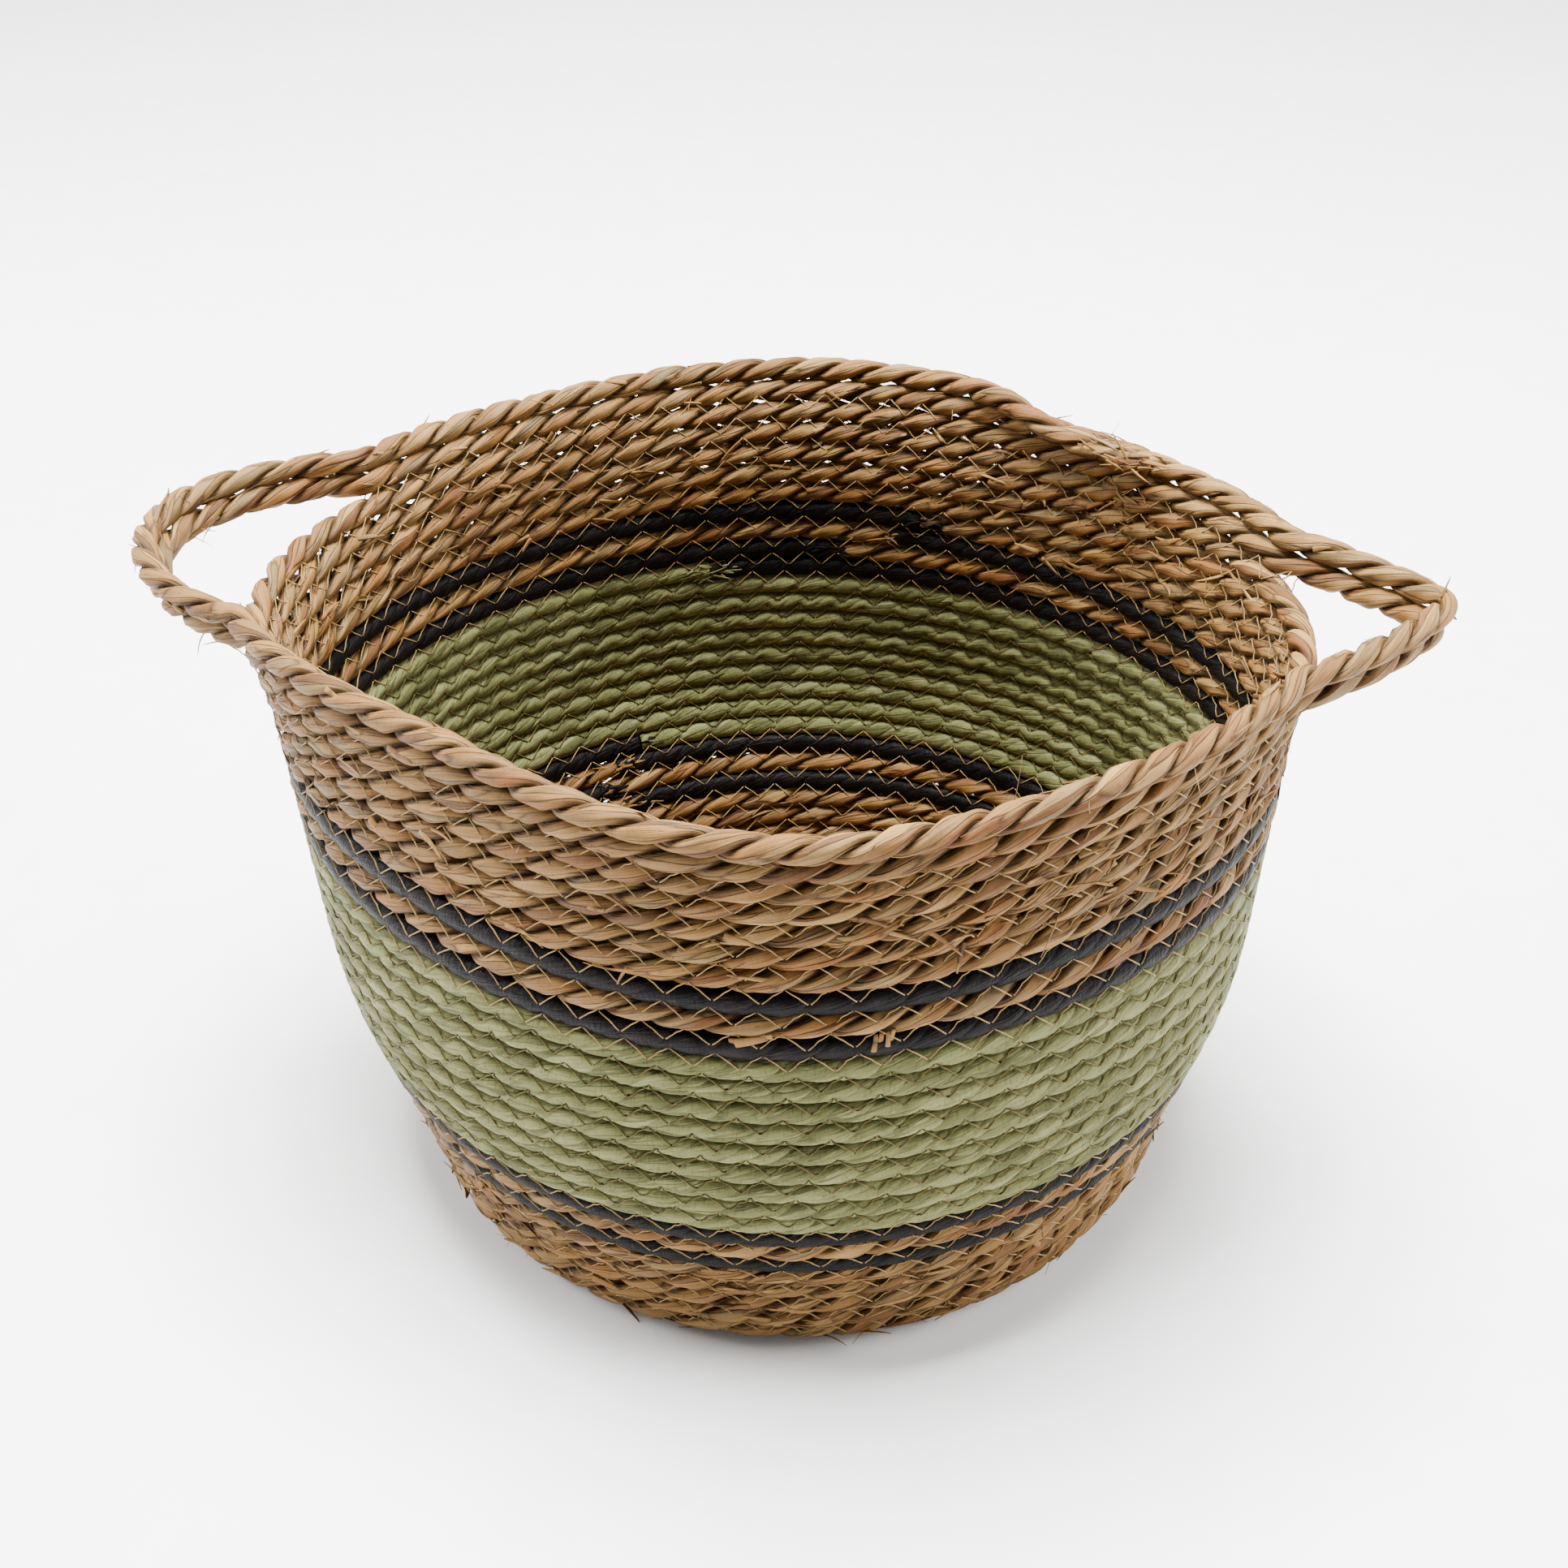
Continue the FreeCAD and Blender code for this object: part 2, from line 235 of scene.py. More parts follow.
# ---------------------------------------------------------------- rope
# lay: length of a full turn of the twist; offset, thick, wide: middle, half thickness and half
# width of a ply; around: points round a ply; ridge, uneven: depth of its leaves and its lumps;
# dent: how deep the sewing presses in; packed: how far the rope fills its square of the wall
ROPES = {
    "natural": dict(lay=32.0, offset=1.95, thick=2.35, wide=3.35, around=24,
                    ridge=0.10, uneven=0.11, dent=0.0, packed=0.0),
    "green": dict(lay=29.0, offset=1.0, thick=3.05, wide=4.0, around=18,
                  ridge=0.014, uneven=0.025, dent=0.75, packed=0.55),
    "black": dict(lay=29.0, offset=1.10, thick=2.95, wide=3.95, around=18,
                  ridge=0.022, uneven=0.04, dent=0.35, packed=0.5),
}


def packed_tight(points, centre, out, up, share):
    """Pushes a soft rope's surface towards the rounded square that its neighbours leave it."""
    offset = points - centre[:, None]
    height = np.sum(offset * up[:, None], axis=-1)
    face = np.sum(offset * out[:, None], axis=-1)
    reach = np.hypot(height, face) + 1e-6
    square = PITCH / 2 / ((height / reach) ** 4 + (face / reach) ** 4) ** 0.25
    outer = np.clip((reach - 2.0) / 1.4, 0, 1)
    return centre[:, None] + offset * (1 + share * outer * (square - reach) / reach)[..., None]


def pressed_in(points, turns, centre, out, up, depth):
    """Presses the sewing's zigzag into the soft rope's outer and inner faces."""
    offset = points - centre[:, None]
    height = np.sum(offset * up[:, None], axis=-1)
    face = np.sum(offset * out[:, None], axis=-1)
    lean = STITCH / 2 / (PITCH - 2 * HOLE_REACH)
    marks = np.zeros_like(height)
    for below, half_stitch in ((True, 0.0), (False, 0.5)):
        stitches = length_at(turns if below else turns + 1) / STITCH - half_stitch
        from_hole = (np.abs(stitches - np.round(stitches)) * STITCH)[:, None]
        past_hole = (-height if below else height) - HOLE_REACH
        gap = np.abs(from_hole - past_hole * lean) / math.hypot(1, lean)
        marks += np.where(past_hole > -0.4, np.exp(-(gap / 0.85) ** 2), 0)
        marks += 0.8 * np.exp(-(from_hole ** 2 + past_hole ** 2) / 0.9)
    return points - (depth * np.minimum(marks, 1.3) * np.clip(face / 3, -1, 1))[..., None] * out[:, None]


# The leaves run flatter than the ply they form: turns of a leaf about its ply per turn of the rope.
LEAF_TURN = 0.78
PLY_SEEDS = (31, 44)
# millimetres over which a rope's end reaches full thickness, and its share of it at the very end
TAPER_LENGTH = 7.0
END_SHARE = 0.92


def rope_ply(turns, kind, ply, taper):
    """One ply of a rope along the coil: vertices and the two values its material reads."""
    look = ROPES[kind]
    seed = PLY_SEEDS[ply]
    centre, _, out, up = coil_frame(turns)
    length = length_at(turns)
    twist = -2 * math.pi * length / look["lay"] + math.pi * ply
    twist += 0.55 * smooth_noise(length, 38.0, 1)
    first = np.cos(twist)[:, None] * out + np.sin(twist)[:, None] * up
    second = -np.sin(twist)[:, None] * out + np.cos(twist)[:, None] * up
    around = look["around"]
    angle = 2 * math.pi * np.arange(around)[None, :] / around
    leaf = angle - (LEAF_TURN * 2 * math.pi * length / look["lay"])[:, None]
    ridges = np.zeros((len(turns), around))
    for wave in (3, 4, 5, 7, 9):
        shift = 2.4 * smooth_noise(length, 22.0, seed + 10 * wave)[:, None]
        swell = (0.6 + 0.4 * smooth_noise(length, 17.0, seed + 11 * wave))[:, None]
        ridges += swell * np.cos(wave * leaf + shift + seed % 7) / 2.2
    bulk = 1 + look["ridge"] * ridges
    bulk *= (1 + look["uneven"] * smooth_noise(length, 12.0, seed + 2))[:, None]
    scale = taper[:, None] * bulk
    reach = look["offset"] * taper[:, None] + look["thick"] * np.cos(angle) * scale
    spread = look["wide"] * np.sin(angle) * scale
    points = centre[:, None] + reach[..., None] * first[:, None] + spread[..., None] * second[:, None]
    if look["packed"]:
        points = packed_tight(points, centre, out, up, look["packed"])
    if look["dent"]:
        points = pressed_in(points, turns, centre, out, up, look["dent"])
    fibre = np.stack([np.broadcast_to(length[:, None] + 400 * (seed % 97), leaf.shape),
                      3.0 * np.cos(leaf), 3.0 * np.sin(leaf)], axis=-1)
    # 0 on the ply's outer side and 1 on its inner side; the materials use it to paint shade where the
    # two plies meet
    hollow = 0.5 - 0.5 * np.cos(angle) + 0 * leaf
    return points.reshape(-1, 3), fibre.reshape(-1, 3), hollow.ravel()


def rope_piece(name, kind, first, last, node, step, start_end, full):
    """Two twisted plies between two places on the coil, as one object."""
    count = int((length_at(last) - length_at(first)) / step)
    turns = turn_at(np.linspace(length_at(first), length_at(last), count))
    length = length_at(turns)
    from_start = (length - length[0]) / TAPER_LENGTH
    to_end = (length[-1] - length) / TAPER_LENGTH
    taper = full * np.minimum(start_end[0] + (1 - start_end[0]) * np.clip(from_start, 0, 1) ** 0.5,
                              start_end[1] + (1 - start_end[1]) * np.clip(to_end, 0, 1) ** 0.5)
    vertices, fibres, hollows, faces = [], [], [], []
    for ply in (0, 1):
        points, fibre, hollow = rope_ply(turns, kind, ply, taper)
        faces += tube_faces(count, ROPES[kind]["around"], ply * len(points))
        vertices.append(points)
        fibres.append(fibre)
        hollows.append(hollow)
    values = {"fibre": np.concatenate(fibres), "hollow": np.concatenate(hollows)}
    make_object(name, np.concatenate(vertices), faces, MATERIALS[kind], values, [node])


# ---------------------------------------------------------------- sewing
THREAD_RADIUS = 0.22
THREAD_HEIGHT = 3.72
# no stitches where a row stands further than this from the row below, as along the handles
WIDEST_SEWN_GAP = 1.35 * PITCH


def stitch_holes(first, last):
    """Every half stitch along a seam: turns on its upper row, and whether the hole is in that row."""
    half = np.arange(math.ceil(length_at(first) / STITCH * 2), length_at(last) / STITCH * 2)
    return turn_at(half * STITCH / 2), half % 2 == 0


def seam_legs(first, last, side, sunk):
    """Zigzag legs between each row and the row below it, from needle hole to needle hole."""
    upper, up_row = stitch_holes(first, last)
    turns = np.where(up_row, upper, upper - 1)
    across = np.where(up_row, -HOLE_REACH, HOLE_REACH) + rng.normal(0, 0.2, len(turns))
    centre, _, out, up = coil_frame(turns)
    high = THREAD_HEIGHT - sunk + rng.normal(0, 0.08, len(turns))
    hole = centre + across[:, None] * up + side * high[:, None] * out
    start, end = hole[:-1], hole[1:]
    facing = unit(side * (out[:-1] + out[1:]))
    gap = np.linalg.norm(coil_point(upper[:-1]) - coil_point(upper[:-1] - 1), axis=1)
    sewn = gap < WIDEST_SEWN_GAP
    places = np.array([0.05, 0.07, 0.3, 0.5, 0.7, 0.93, 0.95])
    sag = np.array([0.0, 0.0, 0.12, 0.45, 0.12, 0.0, 0.0])
    paths = start[:, None] * (1 - places)[:, None] + end[:, None] * places[:, None]
    deeper = np.where(up_row[:-1], 1.7, 0.6) * rng.uniform(0.6, 1.3, len(start))
    paths -= facing[:, None] * (sag * deeper[:, None])[..., None]
    paths[:, (0, -1)] -= 1.4 * facing[:, None]
    return paths[sewn], facing[sewn]


def seam_piece(name, first, last, side, node, material, sunk):
    """One stretch of zigzag as one object; sunk is how deep the thread lies in the rope."""
    paths, facing = seam_legs(first, last, side, sunk)
    width = np.full(paths.shape[:2], THREAD_RADIUS)
    vertices, faces = many_tubes(paths, facing[:, None] + 0 * paths, width, width, 5)
    along = np.repeat(np.tile(np.arange(paths.shape[1]), len(paths)), 5) * 1.6
    values = {"fibre": np.stack([along, along * 0, along * 0], axis=-1)}
    make_object(name, vertices, faces, material, values, [node])


# ---------------------------------------------------------------- materials
# share of a colour that is kept, so that it shows as meant under the bright studio lights
COLOUR_SHARE = 0.50


class Graph:
    """A material's node tree, with short calls for the nodes the four materials share."""

    def __init__(self, name):
        self.material = bpy.data.materials.new(name)
        self.material.use_nodes = True
        self.tree = self.material.node_tree
        self.shader = self.tree.nodes["Principled BSDF"]

    def node(self, kind, inputs=None, **settings):
        made = self.tree.nodes.new("ShaderNode" + kind)
        for key, value in settings.items():
            setattr(made, key, value)
        for key, value in (inputs or {}).items():
            self.feed(made.inputs[key], value)
        return made

    def feed(self, target, value):
        if isinstance(value, bpy.types.NodeSocket):
            self.tree.links.new(value, target)
        else:
            target.default_value = value

    def attribute(self, name, output):
        return self.node("Attribute", attribute_name=name).outputs[output]

    def stretched(self, fibre, along, across, shift=0.0):
        """Fibre coordinates scaled separately along the blades and across them."""
        scale, move = (along, across, across), (shift, shift, shift)
        scaled = self.node("VectorMath", {0: fibre, 1: scale}, operation="MULTIPLY")
        moved = self.node("VectorMath", {0: scaled.outputs[0], 1: move}, operation="ADD")
        return moved.outputs[0]

    def noise(self, place, scale=1.0, detail=2.0, roughness=0.5):
        made = self.node("TexNoise", {"Vector": place, "Scale": scale, "Detail": detail,
                                      "Roughness": roughness})
        return made.outputs["Fac"]

    def cells(self, place, feature="F1", output="Color"):
        made = self.node("TexVoronoi", {"Vector": place, "Scale": 1.0}, feature=feature)
        return made.outputs[output]

    def ramp(self, value, *stops):
        """Colours or greys at places between 0 and 1."""
        made = self.node("ValToRGB", {"Fac": value})
        points = made.color_ramp.elements
        while len(points) < len(stops):
            points.new(0.5)
        for point, (place, colour) in zip(points, stops):
            point.position = place
            point.color = colour if isinstance(colour, tuple) else (colour, colour, colour, 1)
        return made.outputs["Color"]

    def mix(self, share, first, second, blend="MIX"):
        made = self.node("Mix", data_type="RGBA", blend_type=blend)
        self.feed(made.inputs[0], share)
        self.feed(made.inputs[6], first)
        self.feed(made.inputs[7], second)
        return made.outputs[2]

    def maths(self, kind, first, second):
        return self.node("Math", {0: first, 1: second}, operation=kind).outputs[0]

    def bump(self, height, strength, distance, normal=None):
        made = self.node("Bump", {"Height": height, "Strength": strength, "Distance": distance * MM})
        if normal is not None:
            self.feed(made.inputs["Normal"], normal)
        return made.outputs["Normal"]


def rgb(red, green, blue):
    """Linear colour from screen values of 0 to 255."""
    linear = [((value / 255 + 0.055) / 1.055) ** 2.4 * COLOUR_SHARE for value in (red, green, blue)]
    return (*linear, 1.0)


def straw_material():
    """Undyed seagrass: long blades of tan, orange brown, olive and grey with fine ribs and creases."""
    g = Graph("natural_seagrass")
    fibre = g.attribute("fibre", "Vector")
    hollow = g.attribute("hollow", "Fac")
    blade = g.cells(g.stretched(fibre, 0.028, 0.30))
    blade_share = g.node("SeparateColor", {"Color": blade}).outputs
    colour = g.ramp(blade_share["Red"], (0.0, rgb(134, 92, 52)), (0.2, rgb(182, 128, 68)),
                    (0.4, rgb(204, 153, 84)), (0.6, rgb(174, 132, 76)), (0.8, rgb(226, 176, 104)),
                    (1.0, rgb(156, 130, 86)))
    drift = g.noise(g.stretched(fibre, 0.018, 0.12, 5.0), detail=3.0)
    warm = g.ramp(drift, (0.35, rgb(238, 200, 138)), (0.5, rgb(255, 255, 255)),
                  (0.66, rgb(226, 222, 200)))
    colour = g.mix(0.75, colour, warm, "MULTIPLY")
    ribs = g.noise(g.stretched(fibre, 0.07, 2.6, 11.0), detail=3.0, roughness=0.6)
    colour = g.mix(0.8, colour, g.ramp(ribs, (0.28, 0.40), (0.42, 0.88), (0.7, 1.2)), "MULTIPLY")
    # Along the blades' edges: a groove in the bump, and painted shade darkening the colour in it
    crack = g.cells(g.stretched(fibre, 0.028, 0.30), "DISTANCE_TO_EDGE", "Distance")
    blade_edge_groove_and_painted_shade = g.ramp(crack, (0.0, 0.30), (0.05, 1.0))
    colour = g.mix(0.85, colour, blade_edge_groove_and_painted_shade, "MULTIPLY")
    # Folds across the blades: bumps, and painted shade darkening the colour in them
    creases = g.noise(g.stretched(fibre, 0.9, 0.35, 3.0), detail=2.0)
    colour = g.mix(0.5, colour, g.ramp(creases, (0.3, 0.7), (0.42, 1.0)), "MULTIPLY")
    spots = g.noise(g.stretched(fibre, 0.25, 1.4, 23.0), detail=1.0)
    colour = g.mix(g.ramp(spots, (0.70, 0.0), (0.78, 0.7)), colour, rgb(84, 58, 36))
    # Painted shade: the colour darkens towards each ply's inner side, in the groove between the two
    # plies
    ply_gap_painted_shade = g.ramp(hollow, (0.56, 1.0), (0.76, 0.5))
    colour = g.mix(1.0, colour, ply_gap_painted_shade, "MULTIPLY")
    g.feed(g.shader.inputs["Base Color"], colour)
    g.feed(g.shader.inputs["Roughness"], g.ramp(ribs, (0.3, 0.75), (0.7, 0.48)))
    normal = g.bump(blade_edge_groove_and_painted_shade, 0.9, 0.45)
    normal = g.bump(ribs, 0.8, 0.35, normal)
    normal = g.bump(creases, 0.5, 0.4, normal)
    g.feed(g.shader.inputs["Normal"], normal)
    g.shader.inputs["Specular IOR Level"].default_value = 0.14
    return g.material


def dyed_material(name, tones, bare, gloss):
    """Dyed twisted cord: flatter colour with fine ribs, folds across the rope and bare straw showing."""
    g = Graph(name)
    fibre = g.attribute("fibre", "Vector")
    hollow = g.attribute("hollow", "Fac")
    blade = g.cells(g.stretched(fibre, 0.024, 0.33))
    blade_share = g.node("SeparateColor", {"Color": blade}).outputs
    drift = g.noise(g.stretched(fibre, 0.05, 0.2, 5.0), detail=3.0)
    tone = g.maths("ADD", g.maths("MULTIPLY", blade_share["Red"], 0.5), g.maths("MULTIPLY", drift, 0.5))
    colour = g.ramp(tone, (0.2, tones[0]), (0.5, tones[1]), (0.8, tones[2]))
    ribs = g.noise(g.stretched(fibre, 0.06, 2.4, 11.0), detail=3.0, roughness=0.6)
    colour = g.mix(0.8, colour, g.ramp(ribs, (0.3, 0.62), (0.5, 0.95), (0.7, 1.22)), "MULTIPLY")
    # Along the blades' edges: a groove in the bump, and painted shade darkening the colour in it
    crack = g.cells(g.stretched(fibre, 0.024, 0.33), "DISTANCE_TO_EDGE", "Distance")
    blade_edge_groove_and_painted_shade = g.ramp(crack, (0.0, 0.5), (0.06, 1.0))
    colour = g.mix(0.7, colour, blade_edge_groove_and_painted_shade, "MULTIPLY")
    # Folds across the rope: bumps, and painted shade darkening the colour in them
    creases = g.noise(g.stretched(fibre, 1.1, 0.4, 3.0), detail=2.0)
    colour = g.mix(0.6, colour, g.ramp(creases, (0.32, 0.6), (0.44, 1.0)), "MULTIPLY")
    worn = g.noise(g.stretched(fibre, 0.16, 1.7, 31.0), detail=2.0)
    colour = g.mix(g.ramp(worn, (0.63, 0.0), (0.72, 0.55)), colour, bare)
    # Painted shade: the colour darkens towards each ply's inner side, in the groove between the two
    # plies
    ply_gap_painted_shade = g.ramp(hollow, (0.58, 1.0), (0.8, 0.6))
    colour = g.mix(1.0, colour, ply_gap_painted_shade, "MULTIPLY")
    g.feed(g.shader.inputs["Base Color"], colour)
    g.feed(g.shader.inputs["Roughness"], g.ramp(ribs, (0.3, gloss + 0.2), (0.7, gloss)))
    normal = g.bump(blade_edge_groove_and_painted_shade, 0.7, 0.35)
    normal = g.bump(ribs, 0.7, 0.28, normal)
    normal = g.bump(creases, 0.7, 0.45, normal)
    g.feed(g.shader.inputs["Normal"], normal)
    g.shader.inputs["Specular IOR Level"].default_value = 0.07
    return g.material


def thread_material(name, dark, light):
    """Sewing thread: twisted yarn, ribbed on the slant."""
    g = Graph(name)
    fibre = g.attribute("fibre", "Vector")
    ply = g.node("TexWave", {"Vector": fibre, "Scale": 0.9, "Distortion": 1.5},
                 bands_direction="DIAGONAL")
    drift = g.noise(fibre, 0.35)
    colour = g.ramp(drift, (0.3, dark), (0.7, light))
    colour = g.mix(0.6, colour, g.ramp(ply.outputs["Fac"], (0.2, 0.6), (0.8, 1.1)), "MULTIPLY")
    g.feed(g.shader.inputs["Base Color"], colour)
    g.feed(g.shader.inputs["Normal"], g.bump(ply.outputs["Fac"], 0.6, 0.1))
    g.shader.inputs["Roughness"].default_value = 0.6
    g.shader.inputs["Specular IOR Level"].default_value = 0.14
    return g.material


STRAW = straw_material()
BLACK = dyed_material("black_seagrass", (rgb(6, 5, 4), rgb(14, 11, 10), rgb(26, 21, 18)),
                      rgb(72, 58, 42), 0.42)
GREEN = dyed_material("green_seagrass", (rgb(96, 98, 58), rgb(132, 134, 82), rgb(155, 157, 104)),
                      rgb(186, 180, 128), 0.5)
THREAD = thread_material("sewing_thread", rgb(150, 120, 70), rgb(206, 172, 112))
# A darker, more olive copy of the same thread: painted shade where it lies pressed into the soft green
# rope
THREAD_IN_PAINTED_SHADE = thread_material("sewing_thread_in_painted_shade", rgb(84, 74, 34), rgb(140, 118, 62))


# ---------------------------------------------------------------- the basket
# name of the CAD node, kind of rope, where it starts and ends along the coil, stretches
STRETCHES = (
    ("base_rope", "natural", START_TURN - CENTRE_CURL, CORNER_ROW, 1),
    ("base_rope", "natural", CORNER_ROW, 4.90, 2),
    ("foot_black_rope_lower", "black", 4.90, 5.89, 1),
    ("foot_band_rope", "natural", 5.89, 6.90, 1),
    ("foot_black_rope_upper", "black", 6.90, 7.914, 1),
    ("green_rope", "green", 7.914, 16.952, 5),
    ("top_black_rope_lower", "black", 16.952, 18.006, 1),
    ("top_band_rope", "natural", 18.006, 19.03, 1),
    ("top_black_rope_upper", "black", 19.03, 20.044, 1),
    ("upper_natural_rope", "natural", 20.044, 24.14, 2),
    ("handle_rope", "natural", 24.14, 25.42, 1),
    ("rim_rope", "natural", 25.42, 27.15, 1),
)
MATERIALS = {"natural": STRAW, "green": GREEN, "black": BLACK}


# length of one mesh step along each kind of rope on the wall, and along the base
WALL_STEPS = {"natural": 1.8, "green": 1.3, "black": 1.6}
BASE_STEP = 3.4
# the base's rope is pressed a little thicker
BASE_FULLNESS = 1.07


def build_ropes():
    for node, kind, first, last, parts in STRETCHES:
        edges = np.linspace(first, last, parts + 1)
        for part in range(parts):
            on_base = last <= CORNER_ROW
            step = BASE_STEP if on_base else WALL_STEPS[kind]
            full = BASE_FULLNESS if on_base else 1.0
            ends = (END_SHARE if part == 0 else 1.0, END_SHARE if part == parts - 1 else 1.0)
            name = f"{node}_{'floor' if on_base else 'wall'}_{part + 1}"
            rope_piece(name, kind, edges[part], edges[part + 1], node, step, ends, full)


def needle_hole_painted_shade(name, side):
    """Dark plugs where the thread dives into the green rope: painted shade inside its needle holes."""
    upper, up_row = stitch_holes(*GREEN_ROWS)
    turns = upper - np.where(up_row, 0, 1)
    centre, along, out, up = coil_frame(turns)
    place = centre + np.where(up_row, -HOLE_REACH, HOLE_REACH)[:, None] * up
    radius = rng.uniform(0.3, 0.62, len(turns))
    paths = place[:, None] + side * out[:, None] * np.array([2.2, 3.05, 3.2])[None, :, None]
    width = radius[:, None] * np.array([1.0, 1.0, 0.7])[None]
    vertices, faces = many_tubes(paths, along[:, None] + 0 * paths, width, width, 7)
    # The black cord's colour, with the painted ply shade at full strength on top
    values = {"fibre": vertices, "hollow": np.ones(len(vertices))}
    make_object(name, vertices, faces, BLACK, values, ["green_rope"])


# turns of the upper row between which the sewing joins green to green
GREEN_ROWS = (8.5, 16.9)
GREEN_SUNK = 0.14
# stretches of seam on the wall, in turns of the upper row, and the CAD thread each belongs to
SEAMS = ((-1.0, 4.0, "lower"), (4.0, 8.914, "lower"), (8.914, 13.0, "lower"), (13.0, 16.952, "upper"),
         (16.952, 21.0, "upper"), (21.0, WRAP_START - 1.0, "upper"))


def build_seams():
    sides = ((1, "outside", "base_thread_under"), (-1, "inside", "base_thread_inside"))
    for side, word, base_node in sides:
        seam_piece(f"base_stitches_{word}", START_TURN + 1.2, -1.0, side, base_node, THREAD, 0.0)
        for first, last, part in SEAMS:
            in_green = GREEN_ROWS[0] < first < GREEN_ROWS[1]
            name = f"wall_stitches_{word}_{int(first) + 1}"
            # On the green rows the thread sinks a little and takes its darker copy, painted shade where
            # it is pressed in
            material, sunk = (THREAD_IN_PAINTED_SHADE, GREEN_SUNK) if in_green else (THREAD, 0.0)
            seam_piece(name, first, last, side, f"{part}_thread_{word}", material, sunk)
        needle_hole_painted_shade(f"needle_hole_painted_shade_{word}", side)


# height above the floor, in millimetres, below which no fibre hangs
LOWEST_FIBRE = 0.6


def straw_tubes(name, kind, node, paths, facing, lengths, wide, thick, sides):
    """Free ends of leaf as one object, each with its own place in the material's pattern."""
    vertices, faces = many_tubes(paths, facing[:, None] + 0 * paths, wide, thick, sides)
    part = np.linspace(0, 1, paths.shape[1])
    place = lengths[:, None] * part + 37.0 * np.arange(len(paths))[:, None]
    fibre = np.repeat(place.reshape(-1), sides)
    values = {"fibre": np.stack([fibre, fibre * 0 + 1.0, fibre * 0], axis=-1), "hollow": fibre * 0}
    make_object(name, vertices, faces, MATERIALS[kind], values, [node])


def loose_fibres(name, kind, node, turns, reach, side, width, lift, depth=3.3, stray=0.35):
    """Straw ends and hairs that stand out of the rope: side 1 outside, -1 inside, 0 either.

    reach and width are ranges; lift is how far they lean off the rope, stray how far they
    turn up or down, depth where on the rope's radius they begin.
    """
    count = len(turns)
    centre, along, out, up = coil_frame(turns)
    facing = np.where(rng.random(count) < 0.5, 1, -1) if side == 0 else np.full(count, side)
    angle = rng.uniform(-1.1, 1.1, count)
    root = unit(np.cos(angle)[:, None] * out * facing[:, None] + np.sin(angle)[:, None] * up)
    heading = unit(along * rng.choice((-1, 1), count)[:, None] * rng.uniform(0.3, 1.0, count)[:, None]
                   + root * lift * rng.uniform(0.2, 1.0, count)[:, None]
                   + up * rng.normal(0, stray, count)[:, None])
    bend = unit(rng.normal(0, 1, (count, 3))) * rng.uniform(0.05, 0.35, count)[:, None]
    lengths = rng.uniform(*reach, count)
    part = np.linspace(0, 1, 7)[None, :, None]
    course = part * heading[:, None] + part ** 2 * bend[:, None]
    paths = (centre + root * depth)[:, None] + lengths[:, None, None] * course
    paths[..., 2] = np.maximum(paths[..., 2], LOWEST_FIBRE)
    wide = rng.uniform(*width, count)[:, None] * (1 - 0.75 * part[..., 0] ** 2)
    straw_tubes(name, kind, node, paths, root, lengths, wide, 0.25 * wide + 0.06, 6)


def cut_straws(name, node, turn, spread, count, ways, reach, width):
    """Cut ends of straw side by side; ways are their shares along the rope, up and outwards."""
    turns = turn + spread * np.linspace(-1, 1, count)
    centre, along, out, up = coil_frame(turns)
    ahead, rise, outward = ways
    heading = unit(ahead * along + rise * up + outward * out + rng.normal(0, 0.08, (count, 3)))
    part = np.linspace(0, 1, 6)[None, :, None]
    droop = 1.2 * part ** 2 * out[:, None]
    root = centre + 3.7 * out - (2.4 + 0.5 * np.linspace(-1, 1, count))[:, None] * up
    lengths = reach * rng.uniform(0.75, 1.0, count)
    paths = root[:, None] + lengths[:, None, None] * part * heading[:, None] - droop
    wide = width * np.linspace(0.8, 1.1, 6)[None] * rng.uniform(0.8, 1.15, count)[:, None]
    straw_tubes(name, "natural", node, paths, out, lengths, wide, 0.3 * wide, 8)


# where one length of rope meets the next: turn, kind of the frayed end, its node
SPLICES = (
    (4.90, "natural", "base_rope"), (5.89, "black", "foot_black_rope_lower"),
    (6.90, "natural", "foot_band_rope"), (7.914, "black", "foot_black_rope_upper"),
    (16.952, "green", "green_rope"), (18.006, "black", "top_black_rope_lower"),
    (19.03, "natural", "top_band_rope"), (20.044, "black", "top_black_rope_upper"),
    (24.14, "natural", "upper_natural_rope"), (25.42, "natural", "handle_rope"),
)


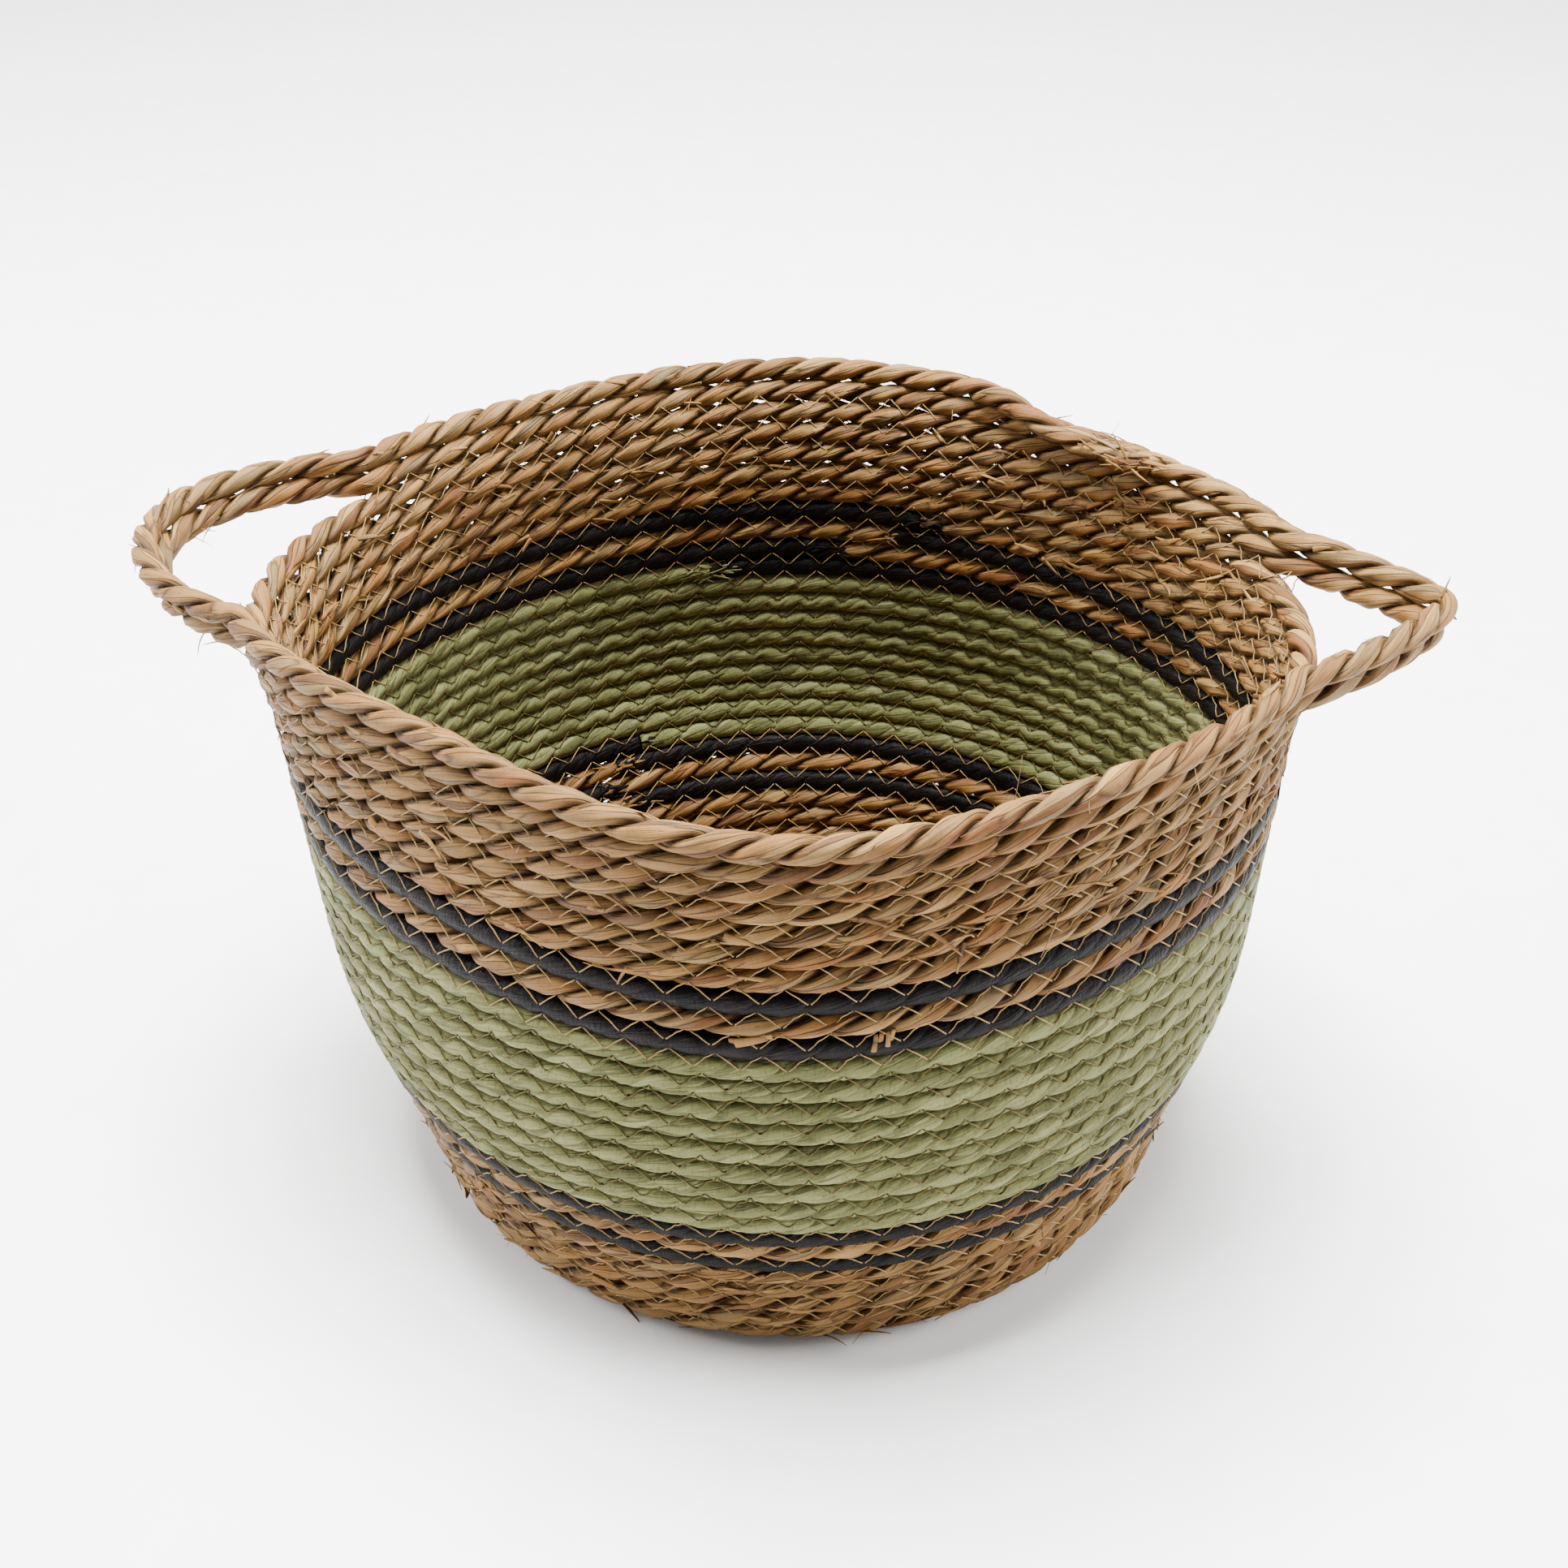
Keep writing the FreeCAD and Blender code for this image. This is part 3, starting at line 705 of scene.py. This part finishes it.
def build_fibres():
    for turn, kind, node in SPLICES:
        spread = turn + rng.normal(0.0, 0.0035, 26)
        loose_fibres(f"{node}_frayed_end", kind, node, spread, (4, 10), -1, (0.4, 1.0), 0.1, 3.6, 0.14)
    tail = 27.135 + rng.uniform(-0.004, 0.016, 34)
    loose_fibres("rim_rope_frayed_end", "natural", "rim_rope", tail,
                 (6, 15), -1, (0.5, 1.3), 0.12, 3.6, 0.2)
    loose_fibres("foot_hairs", "natural", "base_rope", rng.uniform(-0.6, 4.9, 240),
                 (2, 8), 1, (0.1, 0.3), 0.6)
    loose_fibres("foot_leaf_ends", "natural", "base_rope", rng.uniform(-0.8, 4.9, 420),
                 (5, 14), 1, (0.5, 1.4), 0.05, 4.0, 0.16)
    loose_fibres("inner_leaf_ends", "natural", "base_rope", rng.uniform(-8.0, 4.9, 300),
                 (5, 15), -1, (0.5, 1.3), 0.05, 4.0, 0.16)
    loose_fibres("wall_leaf_ends", "natural", "upper_natural_rope", rng.uniform(20.1, 24.1, 420),
                 (5, 14), 0, (0.4, 1.2), 0.06, 4.0, 0.2)
    loose_fibres("rim_leaf_ends", "natural", "rim_rope", rng.uniform(25.5, 27.0, 110),
                 (5, 14), 0, (0.4, 1.1), 0.05, 4.0, 0.16)
    loose_fibres("wall_hairs", "natural", "upper_natural_rope", rng.uniform(20.1, 24.1, 150),
                 (3, 10), 0, (0.12, 0.35), 0.5)
    rough = np.concatenate([21.4 + rng.normal(0, 0.025, 30), 22.41 + rng.normal(0, 0.03, 36),
                            23.16 + rng.normal(0, 0.03, 40)])
    loose_fibres("rough_joins", "natural", "upper_natural_rope", rough, (4, 14), 0, (0.3, 1.0), 0.3)
    cut_straws("band_straw_flat", "top_band_rope", 18.486, 0.0016, 3, (0.9, -0.25, 0.12), 10.0, 1.35)
    cut_straws("band_straw_upright", "top_band_rope", 18.452, 0.0026, 4, (0.12, -0.9, 0.25), 6.5, 0.85)
    loose_fibres("rim_hairs", "natural", "rim_rope", rng.uniform(25.5, 27.0, 70),
                 (3, 12), 0, (0.1, 0.28), 0.8)


build_ropes()
build_seams()
build_fibres()


# ---------------------------------------------------------------- floor, light and camera
def studio():
    """Pale floor that curves up into a backdrop, in metres."""
    across, front, depth, bend, height, bend_steps = 3.2, -1.6, 2.6, 0.9, 3.2, 12
    profile = [(front, 0.0), (depth - bend, 0.0)]
    for number in range(1, bend_steps + 1):
        angle = math.pi / 2 * number / bend_steps
        profile.append((depth - bend + bend * math.sin(angle), bend - bend * math.cos(angle)))
    profile.append((depth, height))
    vertices = [(side * across, y, z) for y, z in profile for side in (-1, 1)]
    faces = [(2 * k, 2 * k + 1, 2 * k + 3, 2 * k + 2) for k in range(len(profile) - 1)]
    mesh = bpy.data.meshes.new("floor")
    mesh.from_pydata(vertices, [], faces)
    mesh.polygons.foreach_set("use_smooth", [True] * len(faces))
    floor = bpy.data.objects.new("floor", mesh)
    bpy.context.scene.collection.objects.link(floor)
    g = Graph("floor_paint")
    grain = g.noise(g.node("TexCoord").outputs["Object"], 40.0, 4.0)
    g.feed(g.shader.inputs["Base Color"], g.ramp(grain, (0.3, 0.80), (0.7, 0.84)))
    g.shader.inputs["Roughness"].default_value = 0.8
    mesh.materials.append(g.material)


LIGHT_TARGET = (0, 0, 0.1)


def area_light(name, place, size, power):
    """Soft box that looks at the basket's middle; place and size in metres, power in watts."""
    data = bpy.data.lights.new(name, "AREA")
    data.shape = "RECTANGLE"
    data.size, data.size_y = size
    data.energy = power
    light = bpy.data.objects.new(name, data)
    light.location = place
    light.rotation_euler = (Vector(LIGHT_TARGET) - Vector(place)).to_track_quat("-Z", "Y").to_euler()
    bpy.context.scene.collection.objects.link(light)


def lights():
    """Soft boxes above and on both sides in an evenly bright studio."""
    area_light("top_light", (-0.1, 0.2, 1.9), (1.1, 1.1), 330)
    area_light("left_light", (-1.9, 0.2, 0.9), (0.9, 1.3), 76)
    area_light("right_light", (1.9, 0.2, 0.9), (0.9, 1.3), 78)
    world = bpy.data.worlds.new("studio_air")
    world.use_nodes = True
    air = world.node_tree.nodes["Background"]
    air.inputs["Color"].default_value = (1, 1, 1, 1)
    air.inputs["Strength"].default_value = 0.37
    bpy.context.scene.world = world


def camera():
    """The basket seen from the front, 33 degrees from above."""
    down, turned = math.radians(33.16), math.radians(6.21)
    level = math.cos(down)
    heading = Vector((-math.sin(turned) * level, math.cos(turned) * level, -math.sin(down)))
    data = bpy.data.cameras.new("camera")
    data.lens, data.sensor_width = 50.31, 36.0
    data.clip_start = 0.01
    view = bpy.data.objects.new("camera", data)
    view.location = (0.0639, -0.6261, 0.5417)
    view.rotation_euler = heading.to_track_quat("-Z", "Y").to_euler()
    bpy.context.scene.collection.objects.link(view)
    bpy.context.scene.camera = view


studio()
lights()
camera()
